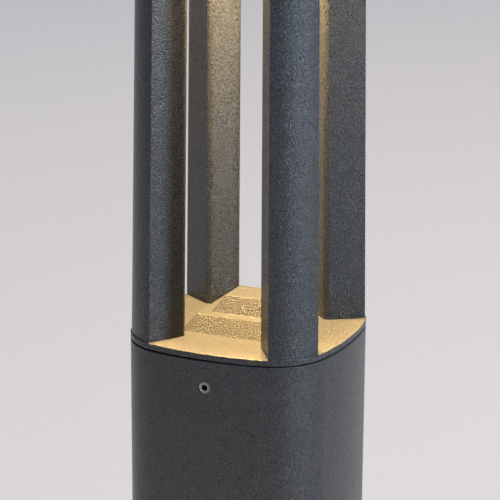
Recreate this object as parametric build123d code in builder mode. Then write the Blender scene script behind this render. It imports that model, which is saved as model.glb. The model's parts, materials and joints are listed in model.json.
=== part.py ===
from build123d import *

import os
from math import cos, radians, sin, sqrt

# Bollard light: a hollow column on a bolted foot, an open lantern of four corner posts
# over a stepped reflector, and a lamp head that shines down between the posts.
# Origin: centre of the foot plate's underside. +Z up, -Y the front. Millimetres.

os.makedirs("parts", exist_ok=True)

# Column section: four bowed sides joined by round corners
SECTION_HALF = 50.0
BOW_RADIUS = 140.0
CORNER_RADIUS = 28.0

# Heights
FOOT_THICKNESS = 8.0
SEAM_Z = 600.0
SEAM_GAP = 0.5
RIM_THICKNESS = 3.0
FLOOR_Z = SEAM_Z + RIM_THICKNESS
HEAD_Z = FLOOR_Z + 300.0
HEAD_SEAM_Z = HEAD_Z + 52.0
TOP_Z = 1000.0

# Walls, fits and edges
TUBE_WALL = 4.0
SPIGOT_GAP = 0.3
SPIGOT_WALL = 3.0
SPIGOT_DEPTH = 30.0
EDGE_ROUND = 0.6
GASKET_INSET = 1.5
GASKET_GAP = 0.1
GASKET_THICKNESS = 1.0
GASKET_RECESS = GASKET_THICKNESS - SEAM_GAP
THREAD_GAP = 0.05
HOLE_GAP = 0.25
OVERCUT = 1.0

# Nominal thread diameters
M3 = 3.0
M4 = 4.0
M5 = 5.0
M6 = 6.0
SCREW_SINK = 0.2

# Foot
FOOT_SCALE = 1.5
FOOT_EDGE_ROUND = 2.0
ANCHOR_SPACING = 104.0
ANCHOR_HOLE_R = 4.5
ENTRY_HOLE_R = 13.0
ENTRY_BORE_R = 7.0
GROMMET_BOTTOM_Z = 1.0
GROMMET_FLANGE = 3.0
GROMMET_ROUND = 1.0
LUG_FRONT = 26.0
LUG_WIDTH = 30.0
LUG_THICKNESS = 6.0
LUG_TOP = 58.0
RIB_WIDTH = 6.0
FOOT_SCREW_Z = 24.0

# Lantern
LEAN = 0.00033
POST_SETBACK = 0.5
POST_ARRIS_ANGLE = radians(12.7)
POST_INNER_ANGLE = radians(13.7)
POST_INNER_RADIUS = 35.2
POST_INNER_ROUND = 3.0
POST_ARRIS_ROUND = 0.4
POST_SCREW_OUT = 39.5
POST_SCREW_APART = 5.0
POST_SCREW_DEPTH = 14.0
POST_SCREW_LENGTH = 16.0
CHANNEL_OUT = 43.0
CHANNEL_R = 2.75
GROMMET_HOLE_R = 3.2
FLOOR_RIB = 2.0
TIER_HALVES = ((24.1, 18.6), (13.4, 8.6))
TIER_HEIGHT = 7.4
TIER_ROUND = 0.7
REFLECTOR_TAP_DEPTH = 9.0
REFLECTOR_SCREW_LENGTH = 12.0
SET_SCREW_DROP = 12.5
SET_SCREW_Z = SEAM_Z - SEAM_GAP - SET_SCREW_DROP

# Lamp head
HEAD_PLATE = 4.0
HEAD_WALL = 4.0
WINDOW_R = 22.0
WINDOW_CHAMFER = 1.5
GLASS_R = 26.0
GLASS_THICKNESS = 4.0
GLASS_CHAMFER = 0.4
GLASS_GASKET = 1.0
CUP_RIM = 1.0
CUP_WALL = 1.5
PILLAR_OUT = 33.0
PILLAR_R = 3.4
BOARD_Z = HEAD_Z + 28.0
BOARD_R = PILLAR_OUT - 4.0
BOARD_THICKNESS = 1.6
BOARD_SCREW_OUT = 22.0
BOARD_SCREW_LENGTH = 6.0
CHIP_R = 7.5
CHIP_HEIGHT = 1.0
TERMINAL_BLOCK = 8.0
TERMINAL_HEIGHT = 5.0
SINK_R = PILLAR_OUT + 4.0
SINK_PLATE = 5.0
FIN_REACH = PILLAR_OUT - 5.0
FIN_COUNT = 7
FIN_PITCH = 7.0
FIN_THICKNESS = 2.0
FIN_HEIGHT = 13.0
SINK_SCREW_LENGTH = 14.0
CAP_ROUND = 6.0
CAP_THICKNESS = 5.0
CAP_SPIGOT_DEPTH = 12.0
HEAD_SCREW_Z = HEAD_SEAM_Z - 6.0
LEAD_TURN_Z = BOARD_Z - 2.5
LEAD_TURNS = (30.0, 30.0, 12.0)

# Gear inside the column
TRAY_WIDTH = 60.0
TRAY_THICKNESS = 2.0
TRAY_CORNER = 5.0
TRAY_FRONT = LUG_FRONT - TRAY_THICKNESS
TRAY_BOTTOM_Z = 20.0
TRAY_TOP_Z = 460.0
BOX_Z = 140.0
BOX_WIDTH = 58.0
BOX_HEIGHT = 100.0
BOX_DEPTH = 36.0
BOX_WALL = 2.0
BOX_BOSS = 8.0
BOX_TAP_DEPTH = 15.0
SEAL_THICKNESS = 1.0
SEAL_WIDTH = 2.0
LID_THICKNESS = 3.0
LID_ROUND = 1.0
LID_SCREW_LENGTH = 12.0
GLAND_Y = TRAY_FRONT - BOX_DEPTH / 2
SUPPLY_THREAD_R = 10.0
SUPPLY_CABLE_R = 5.0
LINK_THREAD_R = 6.0
GLAND_COLLAR = 4.0
GLAND_THREAD = 12.0
GLAND_TAIL = 6.0
GLAND_NUT_LIFT = 5.0
GLAND_NUT_HEIGHT = 12.0
GLAND_NUT_ROUND = 0.5
GLAND_SEAL = 3.0
GLAND_GAP = 0.4
LOCKNUT_HEIGHT = 4.0
HEX_SPREAD = 1.3
TERMINAL_PITCH = 11.0
TERMINAL_WIDTH = 36.0
TERMINAL_LENGTH = 26.0
TERMINAL_DEPTH = 14.0
TERMINAL_ROUND = 0.8
CLAMP_HOLE_R = 2.4
CLAMP_HOLE_DEPTH = 7.0
CLAMP_SCREW_R = 2.3
CLAMP_SCREW_LENGTH = 4.0
CLAMP_SLOT = (0.8, 4.0, 1.2)
FUNNEL_R = 2.0
FUNNEL_DEPTH = 8.0
FUNNEL_LIFT = 4.0
DRIVER_Z = 250.0
DRIVER_WIDTH = 50.0
DRIVER_LENGTH = 150.0
DRIVER_DEPTH = 30.0
DRIVER_CORNER = 3.0
DRIVER_ROUND = 1.0
EAR = 10.0
EAR_THICKNESS = 4.0
EAR_SETBACK = 3.0
EARTH_SCREW_LENGTH = 6.0
MAINS_LEAD_R = 3.5
MAINS_LEAD_INSIDE = 14.0
LAMP_LEAD_R = 2.0
CONNECTOR_XY = 10.0
CONNECTOR_R = 8.0
CONNECTOR_ROUND = 2.0
SOCKET_Z = 430.0
SOCKET_LENGTH = 30.0
SOCKET_MOUTH_R = 5.3
SOCKET_MOUTH_DEPTH = 12.0
PLUG_LENGTH = 25.0
PLUG_NOSE_R = 5.0
PLUG_NOSE_LENGTH = 10.0
CONTACT_OUT = 2.5
PIN_R = 0.8
PIN_LENGTH = 9.0
PIN_HOLE_R = 1.1
CLIP_WALL = 2.5
CLIP_FOOT = 10.0
CLIP_MOUTH = (9.0, 8.0)
CLIP_LIFT = 8.0
CLIP_HEIGHT = 12.0

CORNER_CENTRE = (sqrt(2 * (BOW_RADIUS - CORNER_RADIUS) ** 2 - (BOW_RADIUS - SECTION_HALF) ** 2)
                 - (BOW_RADIUS - SECTION_HALF)) / 2
TUBE_TOP_Z = SEAM_Z - SEAM_GAP


def scale_at(z):
    """Size of the lantern's section at a height, against the column's: it narrows upwards."""
    return 1 - LEAN * (z - FLOOR_Z)


HEAD_SCALE = scale_at(HEAD_SEAM_Z)


def finish(builder, name):
    """Label a finished piece and write its STEP file."""
    builder.part.label = name
    export_step(builder.part, f"parts/{name}.step")


def section(inset=0.0, scale=1.0, mode=Mode.ADD):
    """Draw the column's section as a face, scaled about the axis and then moved inwards."""
    half = SECTION_HALF * scale - inset
    bow = BOW_RADIUS * scale - inset
    corner = CORNER_RADIUS * scale - inset
    centre = CORNER_CENTRE * scale
    reach = bow / (bow - corner)
    side = centre * reach
    up = (centre + bow - half) * reach - (bow - half)
    far = centre + corner * sqrt(0.5)
    with BuildLine() as outline:
        for turn in range(0, 360, 90):
            bowed = [Vector(*at).rotate(Axis.Z, turn) for at in ((side, up), (0, half), (-side, up))]
            round_corner = [Vector(*at).rotate(Axis.Z, turn) for at in ((-side, up), (-far, far), (-up, side))]
            ThreePointArc(*bowed)
            ThreePointArc(*round_corner)
    make_face(outline.edges(), mode=mode)


def ring(z, height, outer_inset, inner_inset, scale=1.0, mode=Mode.ADD):
    """Raise a wall between two insets of the column's section, in the part being built."""
    with BuildSketch(Plane.XY.offset(z)) as band:
        section(outer_inset, scale)
        section(inner_inset, scale, mode=Mode.SUBTRACT)
    extrude(band.sketch, amount=height, mode=mode)


def discs(plane, places, radius, height, mode=Mode.ADD):
    """Raise, or cut with a negative height, round bosses or holes on a plane."""
    with BuildSketch(plane) as profile:
        with Locations(*places):
            Circle(radius)
    extrude(profile.sketch, amount=height, mode=mode)


def blocks(plane, places, width, length, height, mode=Mode.ADD):
    """Raise or cut rectangles on a plane, centred on the given places."""
    with BuildSketch(plane) as profile:
        with Locations(*places):
            Rectangle(width, length)
    extrude(profile.sketch, amount=height, mode=mode)


def hexagons(plane, places, radius, height, mode=Mode.ADD):
    """Raise or cut hexagons on a plane."""
    with BuildSketch(plane) as profile:
        with Locations(*places):
            RegularPolygon(radius, 6)
    extrude(profile.sketch, amount=height, mode=mode)


def tapped(thread):
    """Radius of a hole that a screw threads into."""
    return thread / 2 + THREAD_GAP


def clear(thread):
    """Radius of a hole that a screw passes through."""
    return thread / 2 + HOLE_GAP


def cap_screws(name, plane, places, thread, length):
    """Socket cap screws: heads stand on the plane and shanks run below it."""
    head_r = 0.85 * thread
    socket_r = 0.48 * thread
    with BuildPart() as screws:
        discs(plane, places, head_r, thread)
        discs(plane, places, thread / 2, -length)
        hexagons(plane.offset(thread), places, socket_r, -thread / 2, Mode.SUBTRACT)
    finish(screws, name)


def set_screws(name, planes, thread, length):
    """Headless hex-socket screws: the outer ends lie on the planes, which face outwards."""
    socket_r = 0.29 * thread
    socket_depth = 0.35 * thread
    with BuildPart() as screws:
        for plane in planes:
            discs(plane, CENTRE, thread / 2, -length)
        chamfer(screws.edges().filter_by(GeomType.CIRCLE), 0.08 * thread)
        for plane in planes:
            hexagons(plane, CENTRE, socket_r, -socket_depth, Mode.SUBTRACT)
    finish(screws, name)


def around(reach, apart, scale=1.0):
    """Two places beside each diagonal of the section, at a reach from the axis."""
    return [Vector(reach * scale, side * apart * scale).rotate(Axis.Z, 45 + turn)
            for turn in range(0, 360, 90) for side in (-1, 1)]


def on_diagonal(reach):
    """A place on the rear right diagonal, where the lamp's lead runs."""
    return Vector(reach, 0).rotate(Axis.Z, 45)


# ---------------------------------------------------------------- foot and column

def build_foot_plate():
    """Flat plate with four anchor holes and the cable hole."""
    half_spacing = ANCHOR_SPACING / 2
    corners = [(x, y) for x in (-half_spacing, half_spacing) for y in (-half_spacing, half_spacing)]
    with BuildPart() as foot:
        with BuildSketch():
            section(scale=FOOT_SCALE)
        extrude(amount=FOOT_THICKNESS)
        fillet(foot.edges().group_by(Axis.Z)[-1], FOOT_EDGE_ROUND)
        discs(Plane.XY, corners, ANCHOR_HOLE_R, FOOT_THICKNESS, Mode.SUBTRACT)
        discs(Plane.XY, CENTRE, ENTRY_HOLE_R, FOOT_THICKNESS, Mode.SUBTRACT)
    finish(foot, "foot_plate")


def build_foot_collar():
    """Collar welded to the plate: the column sleeves over it, and a ribbed lug holds the gear tray."""
    outer_inset = TUBE_WALL + SPIGOT_GAP
    lug_y = LUG_FRONT + LUG_THICKNESS / 2
    rib = SECTION_HALF - outer_inset - SPIGOT_WALL / 2 - LUG_FRONT
    with BuildPart() as collar:
        ring(FOOT_THICKNESS, SPIGOT_DEPTH, outer_inset, outer_inset + SPIGOT_WALL)
        blocks(Plane.XY.offset(FOOT_THICKNESS), [(0, lug_y)], LUG_WIDTH, LUG_THICKNESS,
               LUG_TOP - FOOT_THICKNESS)
        blocks(Plane.XY.offset(FOOT_THICKNESS), [(0, LUG_FRONT + rib / 2)], RIB_WIDTH, rib, SPIGOT_DEPTH)
        discs(Plane.XZ.offset(-LUG_FRONT), TRAY_SCREWS, tapped(M5), -LUG_THICKNESS, Mode.SUBTRACT)
    finish(collar, "foot_collar")


def build_base_tube():
    """Extruded column, drilled for the lantern's two set screws and the foot's two screws."""
    with BuildPart() as tube:
        ring(FOOT_THICKNESS, TUBE_TOP_Z - FOOT_THICKNESS, 0, TUBE_WALL)
        fillet(tube.faces().sort_by(Axis.Z)[-1].outer_wire().edges(), EDGE_ROUND)
        for plane in SET_SCREW_PLANES + FOOT_SCREW_PLANES:
            discs(plane.offset(OVERCUT), CENTRE, tapped(M6), -TUBE_WALL - 2 * OVERCUT, Mode.SUBTRACT)
    finish(tube, "base_tube")


def build_cable_grommet():
    """Rubber bush that lines the foot's cable hole, open for the supply cable."""
    with BuildPart() as grommet:
        discs(Plane.XY.offset(GROMMET_BOTTOM_Z), CENTRE, ENTRY_HOLE_R - THREAD_GAP,
              FOOT_THICKNESS - GROMMET_BOTTOM_Z)
        discs(Plane.XY.offset(FOOT_THICKNESS), CENTRE, ENTRY_HOLE_R + GROMMET_FLANGE, GROMMET_FLANGE)
        fillet(grommet.edges().group_by(Axis.Z)[-1], GROMMET_ROUND)
        discs(Plane.XY, CENTRE, ENTRY_BORE_R, FOOT_THICKNESS + GROMMET_FLANGE, Mode.SUBTRACT)
    finish(grommet, "cable_grommet")


# ---------------------------------------------------------------- gear inside the column

def build_gear_tray():
    """Sheet-steel back plate that carries the connection box, the driver and the connector."""
    height = TRAY_TOP_Z - TRAY_BOTTOM_Z
    with BuildPart() as tray:
        blocks(TRAY_PLANE, [(0, TRAY_BOTTOM_Z + height / 2)], TRAY_WIDTH, height, -TRAY_THICKNESS)
        fillet(tray.edges().filter_by(Axis.Y), TRAY_CORNER)
        discs(TRAY_PLANE, TRAY_SCREWS, clear(M5), -TRAY_THICKNESS, Mode.SUBTRACT)
        discs(TRAY_PLANE, BOX_SCREWS + DRIVER_SCREWS + EARTH_SCREW, tapped(M4), -TRAY_THICKNESS,
              Mode.SUBTRACT)
    finish(tray, "gear_tray")


def build_connection_box():
    """Open-fronted plastic box with a boss for the lid in each corner and a gland hole at each end."""
    ends = ((-1, SUPPLY_THREAD_R), (1, LINK_THREAD_R))
    with BuildPart() as box:
        blocks(TRAY_PLANE, [(0, BOX_Z)], BOX_WIDTH, BOX_HEIGHT, BOX_DEPTH)
        offset(amount=-BOX_WALL, openings=box.faces().sort_by(Axis.Y)[0])
        blocks(TRAY_PLANE, LID_SCREWS, BOX_BOSS, BOX_BOSS, BOX_DEPTH)
        discs(TRAY_PLANE.offset(BOX_DEPTH), LID_SCREWS, tapped(M3), -BOX_TAP_DEPTH, Mode.SUBTRACT)
        discs(TRAY_PLANE, BOX_SCREWS, clear(M4), BOX_WALL, Mode.SUBTRACT)
        for side, thread_r in ends:
            wall_z = BOX_Z + side * BOX_HEIGHT / 2
            discs(Plane.XY.offset(wall_z), [(0, GLAND_Y)], thread_r + THREAD_GAP, -side * BOX_WALL,
                  Mode.SUBTRACT)
    finish(box, "connection_box")


def build_box_seal():
    """Flat gasket between the box and its lid."""
    mouth = TRAY_PLANE.offset(BOX_DEPTH)
    with BuildPart() as seal:
        blocks(mouth, [(0, BOX_Z)], BOX_WIDTH, BOX_HEIGHT, SEAL_THICKNESS)
        blocks(mouth, [(0, BOX_Z)], BOX_WIDTH - 2 * SEAL_WIDTH, BOX_HEIGHT - 2 * SEAL_WIDTH, SEAL_THICKNESS,
               Mode.SUBTRACT)
    finish(seal, "box_seal")


def build_box_lid():
    """Lid of the connection box."""
    with BuildPart() as lid:
        blocks(LID_PLANE, [(0, BOX_Z)], BOX_WIDTH, BOX_HEIGHT, -LID_THICKNESS)
        fillet(lid.edges().group_by(Axis.Y)[0], LID_ROUND)
        discs(LID_PLANE, LID_SCREWS, clear(M3), -LID_THICKNESS, Mode.SUBTRACT)
    finish(lid, "box_lid")


def build_gland(name, plane, thread_r, cable_r):
    """Cable gland through a box wall: body, dome nut and seal. The plane is the wall's outer face."""
    tail = BOX_WALL + GLAND_TAIL
    passage_r = cable_r + GLAND_GAP
    nut_plane = plane.offset(GLAND_NUT_LIFT)
    seal_plane = plane.offset(GLAND_THREAD)
    inside = GLAND_THREAD + GLAND_SEAL - GLAND_NUT_LIFT
    with BuildPart() as body:
        hexagons(plane, CENTRE, HEX_SPREAD * thread_r, GLAND_COLLAR)
        discs(plane, CENTRE, thread_r, GLAND_THREAD)
        discs(plane, CENTRE, thread_r, -tail)
        discs(seal_plane, CENTRE, passage_r, -GLAND_THREAD - tail, Mode.SUBTRACT)
    finish(body, f"{name}_body")
    with BuildPart() as nut:
        hexagons(nut_plane, CENTRE, HEX_SPREAD * thread_r, GLAND_NUT_HEIGHT)
        fillet(nut.faces().sort_by(Axis(plane.origin, plane.z_dir))[-1].edges(), GLAND_NUT_ROUND)
        discs(nut_plane, CENTRE, thread_r + THREAD_GAP, inside, Mode.SUBTRACT)
        discs(nut_plane.offset(inside), CENTRE, passage_r, GLAND_NUT_HEIGHT - inside, Mode.SUBTRACT)
    finish(nut, f"{name}_nut")
    with BuildPart() as seal:
        discs(seal_plane, CENTRE, thread_r - GLAND_GAP, GLAND_SEAL)
        discs(seal_plane, CENTRE, cable_r, GLAND_SEAL, Mode.SUBTRACT)
    finish(seal, f"{name}_seal")


def build_gland_locknuts():
    """Hexagon locknuts on the glands' threads inside the connection box."""
    with BuildPart() as nuts:
        for plane, thread_r in ((SUPPLY_PLANE, SUPPLY_THREAD_R), (LINK_PLANE, LINK_THREAD_R)):
            hexagons(plane.offset(-BOX_WALL), CENTRE, HEX_SPREAD * thread_r, -LOCKNUT_HEIGHT)
            discs(plane.offset(-BOX_WALL), CENTRE, thread_r + THREAD_GAP, -LOCKNUT_HEIGHT, Mode.SUBTRACT)
    finish(nuts, "gland_locknuts")


def build_terminal_block():
    """Three-pole block: wire funnels at both ends and a clamp screw above each."""
    back = TRAY_PLANE.offset(BOX_WALL)
    seat = back.offset(TERMINAL_DEPTH - CLAMP_HOLE_DEPTH)
    slot_width, slot_length, slot_depth = CLAMP_SLOT
    with BuildPart() as block:
        blocks(back, [(0, BOX_Z)], TERMINAL_WIDTH, TERMINAL_LENGTH, TERMINAL_DEPTH)
        fillet(block.edges().group_by(Axis.Y)[0], TERMINAL_ROUND)
        discs(seat, TERMINALS, CLAMP_HOLE_R, CLAMP_HOLE_DEPTH, Mode.SUBTRACT)
        for side in (-1, 1):
            end = Plane(origin=(0, TRAY_FRONT - BOX_WALL, BOX_Z + side * TERMINAL_LENGTH / 2),
                        x_dir=(1, 0, 0), z_dir=(0, 0, side))
            funnels = [(x, -side * FUNNEL_LIFT) for x in (-TERMINAL_PITCH, 0, TERMINAL_PITCH)]
            discs(end, funnels, FUNNEL_R, -FUNNEL_DEPTH, Mode.SUBTRACT)
    finish(block, "terminal_block")
    with BuildPart() as screws:
        discs(seat, TERMINALS, CLAMP_SCREW_R, CLAMP_SCREW_LENGTH)
        blocks(seat.offset(CLAMP_SCREW_LENGTH), TERMINALS, slot_width, slot_length, -slot_depth,
               Mode.SUBTRACT)
    finish(screws, "terminal_screws")


def build_led_driver():
    """Potted driver with a screw ear at each end."""
    middle = DRIVER_Z + DRIVER_LENGTH / 2
    with BuildPart() as driver:
        blocks(TRAY_PLANE, [(0, middle)], DRIVER_WIDTH, DRIVER_LENGTH, DRIVER_DEPTH)
        fillet(driver.edges().filter_by(Axis.Z), DRIVER_CORNER)
        fillet(driver.edges().group_by(Axis.Y)[0], DRIVER_ROUND)
        blocks(TRAY_PLANE, [(0, middle)], DRIVER_WIDTH - 2 * EAR_SETBACK, DRIVER_LENGTH + 2 * EAR,
               EAR_THICKNESS)
        discs(TRAY_PLANE, DRIVER_SCREWS, clear(M4), EAR_THICKNESS, Mode.SUBTRACT)
    finish(driver, "led_driver")


def build_leads():
    """Straight leads: connection box to driver, and driver to the lamp connector."""
    mains_z = BOX_Z + BOX_HEIGHT / 2 - MAINS_LEAD_INSIDE
    with BuildPart() as mains:
        discs(Plane.XY.offset(mains_z), [(0, GLAND_Y)], MAINS_LEAD_R, DRIVER_Z - mains_z)
    finish(mains, "mains_lead")
    driver_top = DRIVER_Z + DRIVER_LENGTH
    with BuildPart() as output:
        discs(Plane.XY.offset(driver_top), [CONNECTOR], LAMP_LEAD_R, SOCKET_Z - driver_top)
    finish(output, "driver_lead")


def build_connector():
    """Two-part lamp connector: the socket stays on the tray, the plug leaves with the lantern."""
    mouth = Plane.XY.offset(SOCKET_Z + SOCKET_LENGTH)
    contacts = [(CONNECTOR_XY + x, CONNECTOR_XY) for x in (-CONTACT_OUT, CONTACT_OUT)]
    with BuildPart() as socket:
        discs(mouth, [CONNECTOR], CONNECTOR_R, -SOCKET_LENGTH)
        fillet(socket.edges().group_by(Axis.Z)[0], CONNECTOR_ROUND)
        discs(mouth, [CONNECTOR], SOCKET_MOUTH_R, -SOCKET_MOUTH_DEPTH, Mode.SUBTRACT)
    finish(socket, "lamp_socket")
    with BuildPart() as pins:
        discs(mouth.offset(-SOCKET_MOUTH_DEPTH), contacts, PIN_R, PIN_LENGTH)
    finish(pins, "socket_pins")
    with BuildPart() as plug:
        discs(mouth, [CONNECTOR], CONNECTOR_R, PLUG_LENGTH)
        fillet(plug.edges().group_by(Axis.Z)[-1], CONNECTOR_ROUND)
        discs(mouth, [CONNECTOR], PLUG_NOSE_R, -PLUG_NOSE_LENGTH)
        discs(mouth.offset(-PLUG_NOSE_LENGTH), contacts, PIN_HOLE_R, PIN_LENGTH, Mode.SUBTRACT)
    finish(plug, "lamp_plug")


def build_connector_clip():
    """Spring clip that holds the connector's socket to the tray."""
    reach = TRAY_FRONT - CONNECTOR_XY
    with BuildPart() as clip:
        with BuildSketch(Plane.XY.offset(SOCKET_Z + CLIP_LIFT)):
            with Locations(CONNECTOR):
                Circle(CONNECTOR_R + CLIP_WALL)
            with Locations((CONNECTOR_XY, CONNECTOR_XY + reach / 2)):
                Rectangle(CLIP_FOOT, reach)
            with Locations(CONNECTOR):
                Circle(CONNECTOR_R + THREAD_GAP, mode=Mode.SUBTRACT)
            with Locations((CONNECTOR_XY, CONNECTOR_XY - CONNECTOR_R)):
                Rectangle(*CLIP_MOUTH, mode=Mode.SUBTRACT)
        extrude(amount=CLIP_HEIGHT)
    finish(clip, "connector_clip")


# ---------------------------------------------------------------- lantern

def build_lantern_floor():
    """Floor casting: a rim level with the column, and a hollow spigot that plugs into it."""
    spigot_inset = TUBE_WALL + SPIGOT_GAP
    inner_inset = spigot_inset + SPIGOT_WALL
    with BuildPart() as floor:
        with BuildSketch(Plane.XY.offset(SEAM_Z)):
            section()
        extrude(amount=RIM_THICKNESS)
        fillet(floor.edges().group_by(Axis.Z)[-1], EDGE_ROUND)
        fillet(floor.edges().group_by(Axis.Z)[0], EDGE_ROUND)
        ring(SEAM_Z, GASKET_RECESS, GASKET_INSET, spigot_inset, mode=Mode.SUBTRACT)
        ring(SEAM_Z - SPIGOT_DEPTH, SPIGOT_DEPTH, spigot_inset, inner_inset)
        with BuildSketch(Plane.XY.offset(SEAM_Z - FLOOR_RIB)):
            section(inner_inset)
        extrude(amount=FLOOR_RIB)
        below = Plane.XY.offset(SEAM_Z - FLOOR_RIB)
        thickness = FLOOR_RIB + RIM_THICKNESS
        discs(below, around(POST_SCREW_OUT, POST_SCREW_APART), clear(M4), thickness, Mode.SUBTRACT)
        discs(below, CENTRE, clear(M4), thickness, Mode.SUBTRACT)
        discs(below, [on_diagonal(CHANNEL_OUT)], GROMMET_HOLE_R, thickness, Mode.SUBTRACT)
    finish(floor, "lantern_floor")


def build_gasket(name, z, scale):
    """Flat gasket in a seam: half its thickness lies in the recess of the piece above."""
    with BuildPart() as gasket:
        ring(z, GASKET_THICKNESS, GASKET_INSET, TUBE_WALL + GASKET_GAP, scale)
    finish(gasket, name)


def build_stepped_reflector():
    """Square pyramid of two sloping tiers, with softened edges."""
    with BuildPart() as reflector:
        for tier, (foot, crown) in enumerate(TIER_HALVES):
            base_z = FLOOR_Z + tier * TIER_HEIGHT
            for z, half in ((base_z, foot), (base_z + TIER_HEIGHT, crown)):
                with BuildSketch(Plane.XY.offset(z)):
                    Rectangle(2 * half, 2 * half)
            loft()
        fillet(reflector.edges() - reflector.edges().group_by(Axis.Z)[0], TIER_ROUND)
        discs(Plane.XY.offset(FLOOR_Z), CENTRE, tapped(M4), REFLECTOR_TAP_DEPTH, Mode.SUBTRACT)
    finish(reflector, "stepped_reflector")


def post_section(scale):
    """Draw a post's section, centred on +X: a round outside, flat flanks and a flat inside."""
    centre = CORNER_CENTRE * sqrt(2) * scale
    radius = (CORNER_RADIUS - POST_SETBACK) * scale
    across = centre * sin(POST_ARRIS_ANGLE)
    arris = centre * cos(POST_ARRIS_ANGLE) + sqrt(radius ** 2 - across ** 2)
    arris_x = arris * cos(POST_ARRIS_ANGLE)
    arris_y = arris * sin(POST_ARRIS_ANGLE)
    inner_x = POST_INNER_RADIUS * scale * cos(POST_INNER_ANGLE)
    inner_y = POST_INNER_RADIUS * scale * sin(POST_INNER_ANGLE)
    with BuildLine() as outline:
        Line((inner_x, -inner_y), (arris_x, -arris_y))
        ThreePointArc((arris_x, -arris_y), (centre + radius, 0), (arris_x, arris_y))
        Line((arris_x, arris_y), (inner_x, inner_y))
        Line((inner_x, inner_y), (inner_x, -inner_y))
    make_face(outline.edges())


def build_post(name, turn, has_channel):
    """Corner post: it narrows upwards, is tapped for two screws at each end, and may carry the lead."""
    planes = [Plane.XY.offset(z).rotated((0, 0, turn)) for z in (FLOOR_Z, HEAD_Z)]
    with BuildPart() as post:
        for plane, scale in zip(planes, (1, scale_at(HEAD_Z))):
            with BuildSketch(plane) as profile:
                post_section(scale)
                fillet(profile.vertices().sort_by(Axis.X)[:2], POST_INNER_ROUND * scale)
                fillet(profile.vertices().sort_by_distance((0, 0))[-2:], POST_ARRIS_ROUND)
        loft(ruled=True)
        for plane, scale, way in zip(planes, (1, scale_at(HEAD_Z)), (1, -1)):
            places = [(POST_SCREW_OUT * scale, side * POST_SCREW_APART * scale) for side in (-1, 1)]
            discs(plane, places, tapped(M4), way * POST_SCREW_DEPTH, Mode.SUBTRACT)
        if has_channel:
            discs(planes[0], [(CHANNEL_OUT, 0)], CHANNEL_R, HEAD_Z - FLOOR_Z, Mode.SUBTRACT)
    finish(post, name)


def build_lead_grommet():
    """Rubber bush round the lamp's lead where it passes the lantern's floor."""
    with BuildPart() as grommet:
        below = Plane.XY.offset(SEAM_Z - FLOOR_RIB)
        place = [on_diagonal(CHANNEL_OUT)]
        discs(below, place, GROMMET_HOLE_R - THREAD_GAP, FLOOR_RIB + RIM_THICKNESS)
        discs(below, place, LAMP_LEAD_R, FLOOR_RIB + RIM_THICKNESS, Mode.SUBTRACT)
    finish(grommet, "lead_grommet")


def build_lamp_lead():
    """Lead from the plug, offset into the rear right post, up it, and in to the lamp's terminal."""
    plug_out = CONNECTOR_XY * sqrt(2)
    plug_top = SOCKET_Z + SOCKET_LENGTH + PLUG_LENGTH
    lead_end = BOARD_SCREW_OUT + TERMINAL_BLOCK / 2
    route = [(plug_out, plug_top), (plug_out, plug_top + 25), (CHANNEL_OUT, plug_top + 78),
             (CHANNEL_OUT, LEAD_TURN_Z), (lead_end, LEAD_TURN_Z)]
    diagonal = Plane(origin=(0, 0, 0), x_dir=(1, 1, 0), z_dir=(1, -1, 0))
    with BuildPart() as lead:
        with BuildLine(diagonal) as path:
            FilletPolyline(*route, radius=LEAD_TURNS)
        with BuildSketch(Plane(origin=path.line @ 0, z_dir=path.line % 0)):
            Circle(LAMP_LEAD_R)
        sweep()
    finish(lead, "lamp_lead")


# ---------------------------------------------------------------- lamp head

def build_head_housing():
    """Head casting: a plate with the lamp window, and a wall that follows the lantern's lean."""
    plate_top = HEAD_Z + HEAD_PLATE
    with BuildPart() as housing:
        for z in (HEAD_Z, HEAD_SEAM_Z):
            with BuildSketch(Plane.XY.offset(z)):
                section(scale=scale_at(z))
        loft(ruled=True)
        fillet(housing.edges().group_by(Axis.Z)[-1], EDGE_ROUND)
        fillet(housing.edges().group_by(Axis.Z)[0], EDGE_ROUND)
        with BuildSketch(Plane.XY.offset(plate_top)):
            section(HEAD_WALL, HEAD_SCALE)
        extrude(amount=HEAD_SEAM_Z - plate_top, mode=Mode.SUBTRACT)
        bottom = Plane.XY.offset(HEAD_Z)
        discs(bottom, CENTRE, WINDOW_R, HEAD_PLATE, Mode.SUBTRACT)
        rims = housing.edges().filter_by(GeomType.CIRCLE).group_by(Axis.Z)[0]
        chamfer(rims.sort_by(SortBy.RADIUS)[-1], WINDOW_CHAMFER)
        discs(bottom, around(POST_SCREW_OUT, POST_SCREW_APART, scale_at(HEAD_Z)), clear(M4), HEAD_PLATE,
              Mode.SUBTRACT)
        discs(bottom, PILLARS, tapped(M3), HEAD_PLATE, Mode.SUBTRACT)
        discs(bottom, [on_diagonal(CHANNEL_OUT)], CHANNEL_R, HEAD_PLATE, Mode.SUBTRACT)
        discs(HEAD_SCREW_PLANE.offset(OVERCUT), CENTRE, tapped(M5), -HEAD_WALL - 2 * OVERCUT, Mode.SUBTRACT)
    finish(housing, "head_housing")


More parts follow.
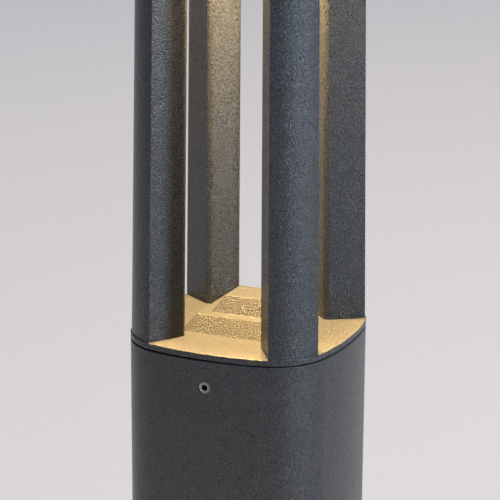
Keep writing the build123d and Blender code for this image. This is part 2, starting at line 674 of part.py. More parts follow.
def build_lamp():
    """What the head holds: gasket, glass, cup, board, chip, heat sink and the pillars under it."""
    plate_top = Plane.XY.offset(HEAD_Z + HEAD_PLATE)
    board = Plane.XY.offset(BOARD_Z)
    cup_z = HEAD_Z + HEAD_PLATE + GLASS_GASKET + GLASS_THICKNESS
    sink_z = BOARD_Z + BOARD_THICKNESS
    sink_plane = Plane.XY.offset(sink_z)
    pillar_height = sink_z - HEAD_Z - HEAD_PLATE
    with BuildPart() as seal:
        discs(plate_top, CENTRE, GLASS_R, GLASS_GASKET)
        discs(plate_top, CENTRE, WINDOW_R + HOLE_GAP, GLASS_GASKET, Mode.SUBTRACT)
    finish(seal, "glass_gasket")
    with BuildPart() as glass:
        discs(plate_top.offset(GLASS_GASKET), CENTRE, GLASS_R, GLASS_THICKNESS)
        chamfer(glass.edges(), GLASS_CHAMFER)
    finish(glass, "lamp_glass")
    with BuildPart() as cup:
        with BuildSketch(Plane.XZ):
            with BuildLine():
                Polyline((GLASS_R, cup_z), (GLASS_R, cup_z + CUP_RIM), (WINDOW_R + 2, cup_z + CUP_RIM),
                         (CHIP_R + 2 * CUP_WALL, BOARD_Z), (CHIP_R + CUP_WALL, BOARD_Z), (WINDOW_R, cup_z),
                         close=True)
            make_face()
        revolve(axis=Axis.Z)
    finish(cup, "lamp_reflector")
    with BuildPart() as chip:
        discs(board, CENTRE, CHIP_R, -CHIP_HEIGHT)
    finish(chip, "led_chip")
    with BuildPart() as disc:
        discs(board, CENTRE, BOARD_R, BOARD_THICKNESS)
        discs(board, BOARD_SCREWS, clear(M3), BOARD_THICKNESS, Mode.SUBTRACT)
    finish(disc, "led_board")
    with BuildPart() as terminal:
        blocks(board.rotated((0, 0, 45)), [(BOARD_SCREW_OUT, 0)], TERMINAL_BLOCK, TERMINAL_BLOCK,
               -TERMINAL_HEIGHT)
    finish(terminal, "lead_terminal")
    with BuildPart() as sink:
        discs(sink_plane, CENTRE, SINK_R, SINK_PLATE)
        with BuildSketch(sink_plane.offset(SINK_PLATE)):
            with GridLocations(FIN_PITCH, 0, FIN_COUNT, 1):
                Rectangle(FIN_THICKNESS, 2 * SINK_R)
            Circle(FIN_REACH, mode=Mode.INTERSECT)
        extrude(amount=FIN_HEIGHT)
        discs(sink_plane, PILLARS, clear(M3), SINK_PLATE, Mode.SUBTRACT)
        discs(sink_plane, BOARD_SCREWS, tapped(M3), SINK_PLATE, Mode.SUBTRACT)
    finish(sink, "heat_sink")
    with BuildPart() as pillars:
        hexagons(plate_top, PILLARS, PILLAR_R, pillar_height)
        discs(plate_top, PILLARS, tapped(M3), pillar_height, Mode.SUBTRACT)
    finish(pillars, "lamp_pillars")
    below_board = Plane(origin=(0, 0, BOARD_Z), x_dir=(1, 0, 0), z_dir=(0, 0, -1))
    cap_screws("board_screws", below_board, [(x, -y) for x, y in BOARD_SCREWS], M3, BOARD_SCREW_LENGTH)
    cap_screws("heat_sink_screws", sink_plane.offset(SINK_PLATE), PILLARS, M3, SINK_SCREW_LENGTH)


def build_head_cap():
    """Lift-off cap: hollow, round-shouldered, with a spigot that plugs into the housing."""
    bottom = HEAD_SEAM_Z + SEAM_GAP
    spigot_inset = HEAD_WALL + SPIGOT_GAP
    inner_inset = spigot_inset + SPIGOT_WALL
    with BuildPart() as cap:
        for z in (bottom, TOP_Z):
            with BuildSketch(Plane.XY.offset(z)):
                section(scale=scale_at(z))
        loft(ruled=True)
        fillet(cap.edges().group_by(Axis.Z)[-1], CAP_ROUND)
        fillet(cap.edges().group_by(Axis.Z)[0], EDGE_ROUND)
        ring(bottom, GASKET_RECESS, GASKET_INSET, spigot_inset, HEAD_SCALE, Mode.SUBTRACT)
        ring(bottom - CAP_SPIGOT_DEPTH, CAP_SPIGOT_DEPTH, spigot_inset, inner_inset, HEAD_SCALE)
        with BuildSketch(Plane.XY.offset(bottom)):
            section(inner_inset, HEAD_SCALE)
        extrude(amount=TOP_Z - CAP_THICKNESS - bottom, mode=Mode.SUBTRACT)
    finish(cap, "head_cap")


# Places and planes that several pieces share
CENTRE = [(0, 0)]
TRAY_PLANE = Plane.XZ.offset(-TRAY_FRONT)
LID_PLANE = TRAY_PLANE.offset(BOX_DEPTH + SEAL_THICKNESS + LID_THICKNESS)
TRAY_SCREWS = [(-9, 40), (9, 40)]
BOX_SCREWS = [(0, BOX_Z - 30), (0, BOX_Z + 30)]
LID_SCREWS = [(x, BOX_Z + z) for x in (-25, 25) for z in (-46, 46)]
DRIVER_SCREWS = [(x, z) for x in (-15, 15) for z in (DRIVER_Z - EAR / 2, DRIVER_Z + DRIVER_LENGTH + EAR / 2)]
EARTH_SCREW = [(22, BOX_Z + 75)]
TERMINALS = [(x, BOX_Z + z) for x in (-TERMINAL_PITCH, 0, TERMINAL_PITCH) for z in (-7, 7)]
SUPPLY_PLANE = Plane(origin=(0, GLAND_Y, BOX_Z - BOX_HEIGHT / 2), x_dir=(1, 0, 0), z_dir=(0, 0, -1))
LINK_PLANE = Plane(origin=(0, GLAND_Y, BOX_Z + BOX_HEIGHT / 2), x_dir=(1, 0, 0), z_dir=(0, 0, 1))
CONNECTOR = (CONNECTOR_XY, CONNECTOR_XY)
PILLARS = [Vector(PILLAR_OUT, 0).rotate(Axis.Z, turn) for turn in range(0, 360, 90)]
BOARD_SCREWS = [(side * BOARD_SCREW_OUT * sqrt(0.5), -side * BOARD_SCREW_OUT * sqrt(0.5)) for side in (-1, 1)]
SET_SCREW_PLANES = [Plane(origin=(0, side * (SECTION_HALF - SCREW_SINK), SET_SCREW_Z), z_dir=(0, side, 0))
                    for side in (-1, 1)]
FOOT_SCREW_PLANES = [Plane(origin=(side * (SECTION_HALF - SCREW_SINK), 0, FOOT_SCREW_Z), z_dir=(side, 0, 0))
                     for side in (-1, 1)]
HEAD_SCREW_PLANE = Plane(origin=(0, SECTION_HALF * scale_at(HEAD_SCREW_Z) - SCREW_SINK, HEAD_SCREW_Z),
                         z_dir=(0, 1, 0))

build_foot_plate()
build_foot_collar()
build_base_tube()
build_cable_grommet()
set_screws("foot_screws", FOOT_SCREW_PLANES, M6, TUBE_WALL + SPIGOT_GAP - SCREW_SINK)

build_gear_tray()
cap_screws("tray_screws", TRAY_PLANE, TRAY_SCREWS, M5, TRAY_THICKNESS + LUG_THICKNESS)
build_connection_box()
build_box_seal()
build_box_lid()
cap_screws("box_lid_screws", LID_PLANE, LID_SCREWS, M3, LID_SCREW_LENGTH)
cap_screws("box_screws", TRAY_PLANE.offset(BOX_WALL), BOX_SCREWS, M4, BOX_WALL + TRAY_THICKNESS)
build_gland("supply_gland", SUPPLY_PLANE, SUPPLY_THREAD_R, SUPPLY_CABLE_R)
build_gland("link_gland", LINK_PLANE, LINK_THREAD_R, MAINS_LEAD_R)
build_gland_locknuts()
build_terminal_block()
cap_screws("earth_screw", TRAY_PLANE, EARTH_SCREW, M4, EARTH_SCREW_LENGTH)
build_led_driver()
cap_screws("driver_screws", TRAY_PLANE.offset(EAR_THICKNESS), DRIVER_SCREWS, M4,
           EAR_THICKNESS + TRAY_THICKNESS)
build_leads()
build_connector()
build_connector_clip()

build_lantern_floor()
build_gasket("joint_gasket", TUBE_TOP_Z, 1)
build_stepped_reflector()
below_floor = Plane(origin=(0, 0, SEAM_Z - FLOOR_RIB), x_dir=(1, 0, 0), z_dir=(0, 0, -1))
cap_screws("reflector_screw", below_floor, CENTRE, M4, REFLECTOR_SCREW_LENGTH)
cap_screws("post_foot_screws", below_floor, around(POST_SCREW_OUT, POST_SCREW_APART), M4,
           POST_SCREW_LENGTH)
for order, name in enumerate(("rear_right", "rear_left", "front_left", "front_right")):
    build_post(f"post_{name}", 45 + 90 * order, name == "rear_right")
build_lead_grommet()
build_lamp_lead()
for side, plane in zip(("front", "rear"), SET_SCREW_PLANES):
    set_screws(f"set_screw_{side}", [plane], M6, TUBE_WALL - SCREW_SINK - THREAD_GAP)

build_head_housing()
cap_screws("post_head_screws", Plane.XY.offset(HEAD_Z + HEAD_PLATE),
           around(POST_SCREW_OUT, POST_SCREW_APART, scale_at(HEAD_Z)), M4, POST_SCREW_LENGTH)
build_lamp()
build_gasket("head_gasket", HEAD_SEAM_Z, HEAD_SCALE)
build_head_cap()
set_screws("head_set_screw", [HEAD_SCREW_PLANE], M5, HEAD_WALL - SCREW_SINK - THREAD_GAP)
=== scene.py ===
import json
import math

import bpy
from mathutils import Matrix, Vector


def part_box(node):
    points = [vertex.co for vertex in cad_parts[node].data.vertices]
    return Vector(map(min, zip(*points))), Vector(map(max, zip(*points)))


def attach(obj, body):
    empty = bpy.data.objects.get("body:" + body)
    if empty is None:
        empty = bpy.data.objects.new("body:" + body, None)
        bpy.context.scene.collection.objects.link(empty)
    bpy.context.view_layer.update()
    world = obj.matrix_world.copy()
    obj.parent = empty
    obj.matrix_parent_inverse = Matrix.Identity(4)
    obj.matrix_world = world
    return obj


# Looks of the bollard light: materials, lamp, soft studio light, floor and camera.
# Metres. Z is up, -Y is the front, and azimuths run from the front towards +X.

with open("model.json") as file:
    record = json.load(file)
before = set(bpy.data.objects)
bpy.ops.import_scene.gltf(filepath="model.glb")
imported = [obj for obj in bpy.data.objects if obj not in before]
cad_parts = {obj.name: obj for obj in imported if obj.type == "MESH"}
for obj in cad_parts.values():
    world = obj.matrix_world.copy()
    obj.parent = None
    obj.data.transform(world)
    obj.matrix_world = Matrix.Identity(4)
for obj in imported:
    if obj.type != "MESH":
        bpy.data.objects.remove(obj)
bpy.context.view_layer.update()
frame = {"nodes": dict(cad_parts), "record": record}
nodes = frame["nodes"]
scene = bpy.context.scene

FLOOR_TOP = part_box("lantern_floor")[1].z
CHIP_LOW, CHIP_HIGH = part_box("led_chip")

# Camera
CAMERA_AZIMUTH = math.radians(23.62)
CAMERA_ELEVATION = math.radians(15.73)
CAMERA_DISTANCE = 0.9612
CAMERA_AIM_ABOVE_FLOOR = 0.035
CAMERA_AIM = Vector((0, 0, FLOOR_TOP + CAMERA_AIM_ABOVE_FLOOR))
CAMERA_ROLL = math.radians(0.34)
CAMERA_LENS = 150.67

# Lamp: a warm beam that is dimmer in its middle, as the lamp's wide reflector makes it
LAMP_COLOUR = (1.0, 0.625, 0.23)
LAMP_POWER = 215.0
LAMP_SIZE = 0.8 * (CHIP_HIGH.x - CHIP_LOW.x)
LAMP_UNDER_CHIP = 0.0005
LAMP_SPREAD = math.radians(84)
LAMP_MIDDLE = 0.43
LAMP_DIM_WITHIN = math.radians(7)
LAMP_BRIGHT_FROM = math.radians(12.5)

# Sky: brighter towards one side, with dark sides that the round posts mirror at their edges.
# A dark side is its azimuth in degrees, the cosine at which it begins and the share of light left.
SKY_COLOUR = (0.90, 0.92, 1.0)
SKY_STRENGTH = 0.41
SKY_BRIGHT_SIDE = math.radians(165)
SKY_DIMMEST = 0.8 * SKY_STRENGTH
SKY_BRIGHTEST = 1.3 * SKY_STRENGTH
SKY_DARK_SIDES = ((8, 0.15, 0.10), (-100, 0.05, 0.12), (120, 0.40, 0.30))
SKY_DARK_CORE = 0.97

# Light from above
TOP_LIGHT_POWER = 1.54
TOP_LIGHT_ANGLE = math.radians(40)

# Ground: the two colours of its speckle in a painted pool of warm light and far from it, where the
# painted light has faded to grey
GROUND_REACH = 60
GROUND_SPECKLE = 60
GROUND_IN_PAINTED_LIGHT = (0.94, 0.87, 0.85), (0.98, 0.91, 0.89)
GROUND_OUT_OF_PAINTED_LIGHT = (0.62, 0.62, 0.65), (0.66, 0.66, 0.69)
GROUND_PAINTED_LIGHT_MIDDLE = (0.6, 1.9, 0)
GROUND_PAINTED_LIGHT_FADE_BEGINS = 0.9
GROUND_PAINTED_LIGHT_FADE_ENDS = 4.6

# Coat: its grains to the metre, how deep they are, how far edges are worn, and its colours
COAT_FINE = 2050
COAT_COARSE = 1400
COAT_COARSE_SHARE = 0.8
COAT_UPRIGHT_STRETCH = 1.15
COAT_MOTTLE = 45
COAT_DEPTH = 0.00024
COAT_WORN_EDGE = 0.0006
# The coat runs from the pit colour to the crest colour with the grain's height: partly its own tone,
# partly painted shade in the pits
COAT_PIT_PAINTED_SHADE_COLOUR = (0.001, 0.002, 0.004)
COAT_TOP_COLOUR = (0.043, 0.049, 0.060)
COAT_MOTTLE_COLOUR = (0.036, 0.040, 0.047)
COAT_WORN_COLOUR = (0.075, 0.08, 0.085)
# Upward faces: painted shade over the coat's colour, and extra roughness
TOP_PAINTED_SHADE_COLOUR = (0.0045, 0.0045, 0.005)
TOP_PAINTED_SHADE_COVER = 0.25
TOP_EXTRA_ROUGHNESS = 0.30

# The band that holds most of a noise's values
NOISE_LOW = 0.3
NOISE_HIGH = 0.7

# Cosines between the flat and the rounded normal, where an edge begins and where it is full
EDGE_BEGINS = 0.998
EDGE_FULL = 0.94

# How open a point is, from 0 to 1: deep in a socket and out of it
OPENNESS_DEEP = 0.45
OPENNESS_OUTSIDE = 0.8


# ---------------------------------------------------------------- shader nodes

def start(name):
    """A new material, with its node tree and its one Principled shader."""
    material = bpy.data.materials.new(name)
    material.use_nodes = True
    tree = material.node_tree
    return material, tree, tree.nodes["Principled BSDF"]


def places(tree, stretch=(1, 1, 1)):
    """The object's own coordinates in metres, stretched along an axis for drawn or brushed grain."""
    coordinates = tree.nodes.new("ShaderNodeTexCoord")
    mapping = tree.nodes.new("ShaderNodeMapping")
    mapping.inputs["Scale"].default_value = stretch
    tree.links.new(coordinates.outputs["Object"], mapping.inputs["Vector"])
    return mapping.outputs["Vector"]


def noise(tree, vector, scale, detail=2.0, roughness=0.5):
    """Soft random grain, with this many grains to the metre."""
    node = tree.nodes.new("ShaderNodeTexNoise")
    node.inputs["Scale"].default_value = scale
    node.inputs["Detail"].default_value = detail
    node.inputs["Roughness"].default_value = roughness
    tree.links.new(vector, node.inputs["Vector"])
    return node.outputs["Fac"]


def cells(tree, vector, scale):
    """Distance to the nearest of random points: rounded grains that touch each other."""
    node = tree.nodes.new("ShaderNodeTexVoronoi")
    node.feature = "SMOOTH_F1"
    node.inputs["Scale"].default_value = scale
    node.inputs["Smoothness"].default_value = 0.6
    tree.links.new(vector, node.inputs["Vector"])
    return node.outputs["Distance"]


def spread(tree, value, low, high, to_low, to_high):
    """A value stretched from one range to another, and held inside it."""
    node = tree.nodes.new("ShaderNodeMapRange")
    for name, number in (("From Min", low), ("From Max", high), ("To Min", to_low), ("To Max", to_high)):
        node.inputs[name].default_value = number
    tree.links.new(value, node.inputs["Value"])
    return node.outputs["Result"]


def vary(tree, value, to_low, to_high):
    """A noise's usual band stretched to another range."""
    return spread(tree, value, NOISE_LOW, NOISE_HIGH, to_low, to_high)


def combine(tree, operation, first, second):
    """Arithmetic on two values, either of which may be a plain number."""
    node = tree.nodes.new("ShaderNodeMath")
    node.operation = operation
    for socket, value in zip(node.inputs, (first, second)):
        if isinstance(value, (int, float)):
            socket.default_value = value
        else:
            tree.links.new(value, socket)
    return node.outputs["Value"]


def blend(tree, factor, first, second):
    """A colour between two others, either of which may come from another node."""
    node = tree.nodes.new("ShaderNodeMix")
    node.data_type = "RGBA"
    tree.links.new(factor, node.inputs[0])
    for socket, colour in ((node.inputs[6], first), (node.inputs[7], second)):
        if isinstance(colour, tuple):
            socket.default_value = (*colour, 1)
        else:
            tree.links.new(colour, socket)
    return node.outputs[2]


def rounded_normal(tree, radius):
    """The surface's normal, as if its sharp edges were rounded by this radius."""
    rounded = tree.nodes.new("ShaderNodeBevel")
    rounded.samples = 4
    rounded.inputs["Radius"].default_value = radius
    return rounded.outputs["Normal"]


def edges(tree, radius):
    """1 within about this radius of a sharp edge, falling to 0 on open faces."""
    flat = tree.nodes.new("ShaderNodeNewGeometry")
    dot = tree.nodes.new("ShaderNodeVectorMath")
    dot.operation = "DOT_PRODUCT"
    tree.links.new(rounded_normal(tree, radius), dot.inputs[0])
    tree.links.new(flat.outputs["Normal"], dot.inputs[1])
    return spread(tree, dot.outputs["Value"], EDGE_BEGINS, EDGE_FULL, 0, 1)


def upward(tree, begins, ends):
    """0 on upright faces and 1 on those that look up: the upward part of the normal, spread."""
    geometry = tree.nodes.new("ShaderNodeNewGeometry")
    parts = tree.nodes.new("ShaderNodeSeparateXYZ")
    tree.links.new(geometry.outputs["Normal"], parts.inputs["Vector"])
    return spread(tree, parts.outputs["Z"], begins, ends, 0, 1)


def hidden(tree, distance):
    """1 deep inside sockets and slots, 0 on open faces."""
    occlusion = tree.nodes.new("ShaderNodeAmbientOcclusion")
    occlusion.samples = 8
    occlusion.only_local = True
    occlusion.inputs["Distance"].default_value = distance
    return spread(tree, occlusion.outputs["AO"], OPENNESS_DEEP, OPENNESS_OUTSIDE, 1, 0)


def raise_grain(tree, shader, height, depth, strength=1.0, normal=None):
    """Give the shader a bump from a height, this many metres deep, over its own or another normal."""
    bump = tree.nodes.new("ShaderNodeBump")
    bump.inputs["Strength"].default_value = strength
    bump.inputs["Distance"].default_value = depth
    tree.links.new(height, bump.inputs["Height"])
    if normal:
        tree.links.new(normal, bump.inputs["Normal"])
    tree.links.new(bump.outputs["Normal"], shader.inputs["Normal"])


# ---------------------------------------------------------------- materials

def structured_coat(name):
    """Anthracite structured powder coat: grain with painted shade in its pits, faint mottle, painted
    shade and more roughness on its tops, worn edges.
    """
    material, tree, shader = start(name)
    where = places(tree, (1, 1, COAT_UPRIGHT_STRETCH))
    fine = noise(tree, where, COAT_FINE, detail=0.0)
    coarse = noise(tree, where, COAT_COARSE, detail=0.0)
    mottle = noise(tree, where, COAT_MOTTLE, detail=3.0)
    grain = combine(tree, "ADD", fine, combine(tree, "MULTIPLY", coarse, COAT_COARSE_SHARE))
    # Darker where the grain is low: the grain's own tone together with painted shade in its pits
    colour = blend(tree, spread(tree, grain, 0.55, 1.25, 0, 1), COAT_PIT_PAINTED_SHADE_COLOUR, COAT_TOP_COLOUR)
    colour = blend(tree, vary(tree, mottle, 0, 0.18), colour, COAT_MOTTLE_COLOUR)
    # Faces that look up are darkened as painted shade, and made rougher
    shaded_and_rough_tops = upward(tree, begins=0.2, ends=0.6)
    colour = blend(tree, combine(tree, "MULTIPLY", shaded_and_rough_tops, TOP_PAINTED_SHADE_COVER), colour, TOP_PAINTED_SHADE_COLOUR)
    patchy = spread(tree, coarse, 0.35, 0.6, 0.1, 0.5)
    wear = combine(tree, "MULTIPLY", edges(tree, COAT_WORN_EDGE), patchy)
    colour = blend(tree, wear, colour, COAT_WORN_COLOUR)
    tree.links.new(colour, shader.inputs["Base Color"])
    tops_roughness = combine(tree, "MULTIPLY", shaded_and_rough_tops, TOP_EXTRA_ROUGHNESS)
    roughness = combine(tree, "ADD", vary(tree, coarse, 0.24, 0.33), tops_roughness)
    tree.links.new(roughness, shader.inputs["Roughness"])
    raise_grain(tree, shader, grain, COAT_DEPTH)
    return material


def screw_steel(name):
    """Stainless screws: a turned face, pale edges as a painted highlight and painted shade deep in the
    sockets.
    """
    material, tree, shader = start(name)
    turned = noise(tree, places(tree), scale=2500, detail=4.0, roughness=0.6)
    face = spread(tree, turned, 0.35, 0.65, 0, 1)
    colour = blend(tree, face, (0.08, 0.08, 0.078), (0.17, 0.17, 0.165))
    # Pale edges: a painted highlight on the screws' rims
    edge_painted_highlight = edges(tree, radius=0.00065)
    colour = blend(tree, edge_painted_highlight, colour, (0.93, 0.93, 0.92))
    # Near-black painted shade deep in the sockets, which also dulls the steel there
    socket_painted_shade = hidden(tree, distance=0.003)
    colour = blend(tree, socket_painted_shade, colour, (0.010, 0.009, 0.008))
    tree.links.new(colour, shader.inputs["Base Color"])
    dull = combine(tree, "MAXIMUM", socket_painted_shade, combine(tree, "MULTIPLY", edge_painted_highlight, 0.9))
    tree.links.new(spread(tree, dull, 0, 1, 0.30, 0.85), shader.inputs["Roughness"])
    tree.links.new(spread(tree, dull, 0, 1, 1, 0), shader.inputs["Metallic"])
    raise_grain(tree, shader, turned, depth=0.00002, normal=rounded_normal(tree, radius=0.0003))
    return material


def brushed_metal(name, dark, light, stretch, scale, roughness, depth):
    """Drawn, brushed or turned metal: grain along one axis, dull patches and bright edges."""
    material, tree, shader = start(name)
    lines = noise(tree, places(tree, stretch), scale, detail=4.0, roughness=0.6)
    patches = noise(tree, places(tree), scale=60, detail=3.0)
    colour = blend(tree, vary(tree, lines, 0, 1), dark, light)
    colour = blend(tree, spread(tree, patches, 0.45, 0.75, 0, 0.35), colour, tuple(0.7 * c for c in dark))
    wear = combine(tree, "MULTIPLY", edges(tree, radius=0.0003), 0.5)
    colour = blend(tree, wear, colour, tuple(min(1.0, 1.15 * c) for c in light))
    tree.links.new(colour, shader.inputs["Base Color"])
    streaks = vary(tree, lines, -0.08, 0.08)
    dulled = spread(tree, patches, 0.4, 0.7, roughness, roughness + 0.12)
    tree.links.new(combine(tree, "ADD", streaks, dulled), shader.inputs["Roughness"])
    shader.inputs["Metallic"].default_value = 1.0
    raise_grain(tree, shader, lines, depth)
    return material


def spangled_zinc(name):
    """Zinc-plated sheet: large soft spangles over a rolled grain."""
    material, tree, shader = start(name)
    spangle = cells(tree, places(tree), scale=140)
    rolled = noise(tree, places(tree, (1, 1, 0.06)), scale=900, detail=3.0)
    colour = blend(tree, spread(tree, spangle, 0.1, 0.6, 0, 1), (0.58, 0.60, 0.62), (0.40, 0.42, 0.44))
    colour = blend(tree, spread(tree, rolled, 0.4, 0.8, 0, 0.3), colour, (0.70, 0.71, 0.70))
    tree.links.new(colour, shader.inputs["Base Color"])
    tree.links.new(spread(tree, spangle, 0.1, 0.6, 0.28, 0.46), shader.inputs["Roughness"])
    shader.inputs["Metallic"].default_value = 1.0
    raise_grain(tree, shader, combine(tree, "ADD", spangle, rolled), depth=0.00003)
    return material


def moulded_plastic(name, dark, light, roughness, scale):
    """Moulded plastic: a fine eroded grain, slight flow marks and paler rubbed edges."""
    material, tree, shader = start(name)
    grain = noise(tree, places(tree), scale, detail=4.0, roughness=0.65)
    flow = noise(tree, places(tree, (1, 1, 0.25)), scale=35, detail=3.0)
    colour = blend(tree, vary(tree, flow, 0, 1), dark, light)
    wear = combine(tree, "MULTIPLY", edges(tree, radius=0.0005), vary(tree, flow, 0.2, 0.7))
    colour = blend(tree, wear, colour, tuple(min(1.0, 1.3 * c + 0.02) for c in light))
    tree.links.new(colour, shader.inputs["Base Color"])
    tree.links.new(vary(tree, grain, roughness - 0.08, roughness + 0.08), shader.inputs["Roughness"])
    raise_grain(tree, shader, grain, depth=0.00008)
    return material


def rubber(name, stretch, scale):
    """Dull black rubber with a dusty bloom in its grain."""
    material, tree, shader = start(name)
    grain = noise(tree, places(tree, stretch), scale, detail=5.0, roughness=0.7)
    bloom = noise(tree, places(tree), scale=90, detail=4.0)
    dusty = spread(tree, bloom, 0.45, 0.75, 0, 1)
    colour = blend(tree, dusty, (0.012, 0.012, 0.013), (0.034, 0.033, 0.032))
    tree.links.new(colour, shader.inputs["Base Color"])
    tree.links.new(vary(tree, grain, 0.62, 0.88), shader.inputs["Roughness"])
    raise_grain(tree, shader, grain, depth=0.00008)
    return material


def clear_glass(name):
    """Toughened glass that lets the lamp's light pass, with faint dust and a slight waviness."""
    material, tree, shader = start(name)
    output = tree.nodes["Material Output"]
    wave = noise(tree, places(tree), scale=40, detail=2.0)
    dust = noise(tree, places(tree), scale=700, detail=5.0, roughness=0.7)
    colour = blend(tree, spread(tree, dust, 0.5, 0.8, 0, 1), (0.96, 0.98, 0.97), (0.80, 0.82, 0.80))
    tree.links.new(colour, shader.inputs["Base Color"])
    tree.links.new(spread(tree, dust, 0.4, 0.75, 0.03, 0.16), shader.inputs["Roughness"])
    shader.inputs["Transmission Weight"].default_value = 1.0
    shader.inputs["IOR"].default_value = 1.5
    raise_grain(tree, shader, wave, depth=0.0001, strength=0.3)
    path = tree.nodes.new("ShaderNodeLightPath")
    passing = tree.nodes.new("ShaderNodeBsdfTransparent")
    mix = tree.nodes.new("ShaderNodeMixShader")
    tree.links.new(path.outputs["Is Shadow Ray"], mix.inputs[0])
    tree.links.new(shader.outputs["BSDF"], mix.inputs[1])
    tree.links.new(passing.outputs["BSDF"], mix.inputs[2])
    tree.links.new(mix.outputs["Shader"], output.inputs["Surface"])
    return material


def phosphor(name):
    """The chip's yellow phosphor over a grid of dies, glowing warm white."""
    material, tree, shader = start(name)
    dies = cells(tree, places(tree), scale=900)
    colour = blend(tree, spread(tree, dies, 0.1, 0.6, 0, 1), (0.95, 0.76, 0.30), (0.80, 0.58, 0.16))
    tree.links.new(colour, shader.inputs["Base Color"])
    shader.inputs["Roughness"].default_value = 0.4
    glow = blend(tree, spread(tree, dies, 0.1, 0.6, 0, 1), (1.0, 0.80, 0.48), (1.0, 0.68, 0.32))
    tree.links.new(glow, shader.inputs["Emission Color"])
    shader.inputs["Emission Strength"].default_value = 9.0
    raise_grain(tree, shader, dies, depth=0.00005)
    return material


def make_materials():
    """One material for each of the record's slots."""
    return {
        "anthracite_coat": structured_coat("anthracite_coat"),
        "stainless": screw_steel("stainless"),
        "zinc_steel": spangled_zinc("zinc_steel"),
        "aluminium": brushed_metal(
            "aluminium", dark=(0.60, 0.61, 0.62), light=(0.80, 0.81, 0.82),
            stretch=(1, 0.05, 1), scale=1500, roughness=0.38, depth=0.00004),
        "bright_reflector": brushed_metal(
            "bright_reflector", dark=(0.86, 0.86, 0.84), light=(0.94, 0.94, 0.92),
            stretch=(1, 1, 0.2), scale=800, roughness=0.10, depth=0.000006),
        "black_rubber": rubber("black_rubber", stretch=(1, 1, 1), scale=1400),
        "cable_black": rubber("cable_black", stretch=(1, 1, 0.15), scale=900),
        "grey_plastic": moulded_plastic(
            "grey_plastic", dark=(0.30, 0.31, 0.32), light=(0.40, 0.41, 0.42),
            roughness=0.50, scale=1200),
        "black_plastic": moulded_plastic(
            "black_plastic", dark=(0.018, 0.018, 0.020), light=(0.034, 0.034, 0.037),
            roughness=0.42, scale=1500),
        "white_plastic": moulded_plastic(
            "white_plastic", dark=(0.72, 0.72, 0.69), light=(0.83, 0.83, 0.80),
            roughness=0.40, scale=1300),
        "board_white": moulded_plastic(
            "board_white", dark=(0.80, 0.80, 0.78), light=(0.90, 0.90, 0.88),
            roughness=0.32, scale=2200),
        "brass": brushed_metal(
            "brass", dark=(0.60, 0.44, 0.17), light=(0.80, 0.63, 0.30),
            stretch=(1, 1, 1), scale=2200, roughness=0.30, depth=0.00002),
        "lamp_glass": clear_glass("lamp_glass"),
        "led_phosphor": phosphor("led_phosphor"),
    }


def paint_nodes():
    """Give every CAD node the material of its slot."""
    materials = make_materials()
    for row in frame["record"]["subparts"]:
        slots = nodes[row["node"]].data.materials
        slots.clear()
        slots.append(materials[row["material_slot"]])


# ---------------------------------------------------------------- light, floor and camera

def towards(azimuth, elevation):
    """Unit vector from the axis, at an azimuth from the front and an elevation."""
    level = math.cos(elevation)
    return Vector((math.sin(azimuth) * level, -math.cos(azimuth) * level, math.sin(elevation)))


def link(name, data):
    """A new object in the scene."""
    made = bpy.data.objects.new(name, data)
    scene.collection.objects.link(made)
    return made


def make_camera():
    """The photograph's view."""
    back = towards(CAMERA_AZIMUTH, CAMERA_ELEVATION)
    data = bpy.data.cameras.new("camera")
    data.lens = CAMERA_LENS
    data.clip_start = 0.01
    data.clip_end = 200
    camera = link("camera", data)
    turn = (-back).to_track_quat("-Z", "Y").to_matrix().to_4x4()
    roll = Matrix.Rotation(CAMERA_ROLL, 4, "Z")
    camera.matrix_world = Matrix.Translation(CAMERA_AIM + back * CAMERA_DISTANCE) @ turn @ roll
    scene.camera = camera


def strip_light(name, azimuth, distance, low, high, width, power, colour):
    """An upright soft box that faces the axis, from one height to another."""
    data = bpy.data.lights.new(name, "AREA")
    data.shape = "RECTANGLE"
    data.size = width
    data.size_y = high - low
    data.energy = power
    data.color = colour
    light = link(name, data)
    outwards = towards(math.radians(azimuth), 0)
    light.location = outwards * distance + Vector((0, 0, (low + high) / 2))
    light.rotation_mode = "QUATERNION"
    light.rotation_quaternion = outwards.to_track_quat("Z", "Y")
    light.visible_camera = False


def make_lamp():
    """The warm light of the lamp's chip: a beam that points down and rides on the lantern."""
    data = bpy.data.lights.new("lamp_beam", "SPOT")
    data.energy = LAMP_POWER
    data.color = LAMP_COLOUR
    data.spot_size = LAMP_SPREAD
    data.spot_blend = 1.0
    data.shadow_soft_size = LAMP_SIZE
    light = link("lamp_beam", data)
    light.location = (0, 0, CHIP_LOW.z - LAMP_UNDER_CHIP)
    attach(light, "lantern")
    data.use_nodes = True
    tree = data.node_tree
    coordinates = tree.nodes.new("ShaderNodeTexCoord")
    parts = tree.nodes.new("ShaderNodeSeparateXYZ")
    tree.links.new(coordinates.outputs["Normal"], parts.inputs["Vector"])
    slant = combine(tree, "ABSOLUTE", parts.outputs["Z"], 0)
    ring = math.cos(LAMP_BRIGHT_FROM)
    middle = math.cos(LAMP_DIM_WITHIN)
    strength = spread(tree, slant, ring, middle, 1, LAMP_MIDDLE)
    tree.links.new(strength, tree.nodes["Emission"].inputs["Strength"])


def make_top_light():
    """Broad soft light from straight above: it brightens the ground, not the upright faces."""
    data = bpy.data.lights.new("top_light", "SUN")
    data.energy = TOP_LIGHT_POWER
    data.angle = TOP_LIGHT_ANGLE
    link("top_light", data)


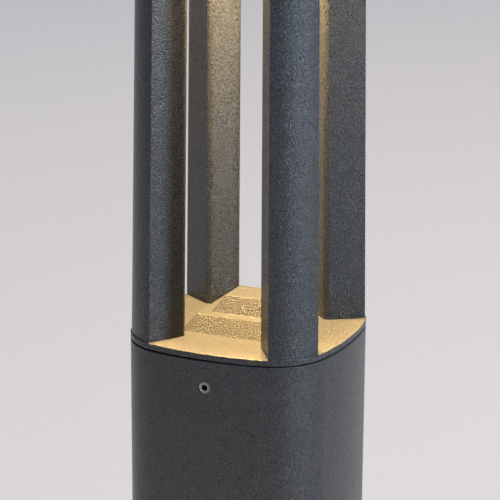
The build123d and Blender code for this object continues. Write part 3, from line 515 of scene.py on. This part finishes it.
def make_ground():
    """A pale floor with a painted pool of warm light behind the object and to its right, greyer far from
    it.
    """
    reach = GROUND_REACH
    corners = [(-reach, -reach, 0), (reach, -reach, 0), (reach, reach, 0), (-reach, reach, 0)]
    mesh = bpy.data.meshes.new("ground")
    mesh.from_pydata(corners, [], [(0, 1, 2, 3)])
    material, tree, shader = start("ground")
    speckle = noise(tree, places(tree), GROUND_SPECKLE, detail=6.0)
    out_of_painted_light = blend(tree, speckle, *GROUND_OUT_OF_PAINTED_LIGHT)
    in_painted_light = blend(tree, speckle, *GROUND_IN_PAINTED_LIGHT)
    coordinates = tree.nodes.new("ShaderNodeTexCoord")
    distance = tree.nodes.new("ShaderNodeVectorMath")
    distance.operation = "DISTANCE"
    distance.inputs[1].default_value = GROUND_PAINTED_LIGHT_MIDDLE
    tree.links.new(coordinates.outputs["Object"], distance.inputs[0])
    # Painted light: warm and pale near the pool's middle, fading to grey further off
    painted_light_fade = spread(tree, distance.outputs["Value"], GROUND_PAINTED_LIGHT_FADE_BEGINS, GROUND_PAINTED_LIGHT_FADE_ENDS, 0, 1)
    tree.links.new(blend(tree, painted_light_fade, in_painted_light, out_of_painted_light), shader.inputs["Base Color"])
    shader.inputs["Roughness"].default_value = 0.9
    shader.inputs["Specular IOR Level"].default_value = 0.2
    mesh.materials.append(material)
    link("ground", mesh)


def facing(tree, direction, azimuth):
    """Cosine between a level azimuth and a direction of the sky."""
    side = tree.nodes.new("ShaderNodeVectorMath")
    side.operation = "DOT_PRODUCT"
    side.inputs[1].default_value = towards(azimuth, 0)
    tree.links.new(direction, side.inputs[0])
    return side.outputs["Value"]


def make_sky():
    """Soft light from all round, brighter from one side and darker from a few others."""
    world = bpy.data.worlds.new("sky")
    scene.world = world
    world.use_nodes = True
    tree = world.node_tree
    background = tree.nodes["Background"]
    background.inputs["Color"].default_value = (*SKY_COLOUR, 1)
    direction = tree.nodes.new("ShaderNodeTexCoord").outputs["Generated"]
    bright = facing(tree, direction, SKY_BRIGHT_SIDE)
    strength = spread(tree, bright, -1, 1, SKY_DIMMEST, SKY_BRIGHTEST)
    for azimuth, begins, left in SKY_DARK_SIDES:
        dark = facing(tree, direction, math.radians(azimuth))
        strength = combine(tree, "MULTIPLY", strength, spread(tree, dark, begins, SKY_DARK_CORE, 1, left))
    tree.links.new(strength, background.inputs["Strength"])


paint_nodes()
scene.view_settings.view_transform = "Standard"
make_camera()
make_ground()
make_sky()
make_top_light()
make_lamp()
strip_light("right_strip", azimuth=80, distance=0.95, low=0.58, high=1.64, width=0.10,
            power=13.0, colour=(0.74, 0.89, 1.0))
strip_light("left_strip", azimuth=-34, distance=1.60, low=0.10, high=0.70, width=0.30,
            power=1.2, colour=(0.94, 0.96, 1.0))
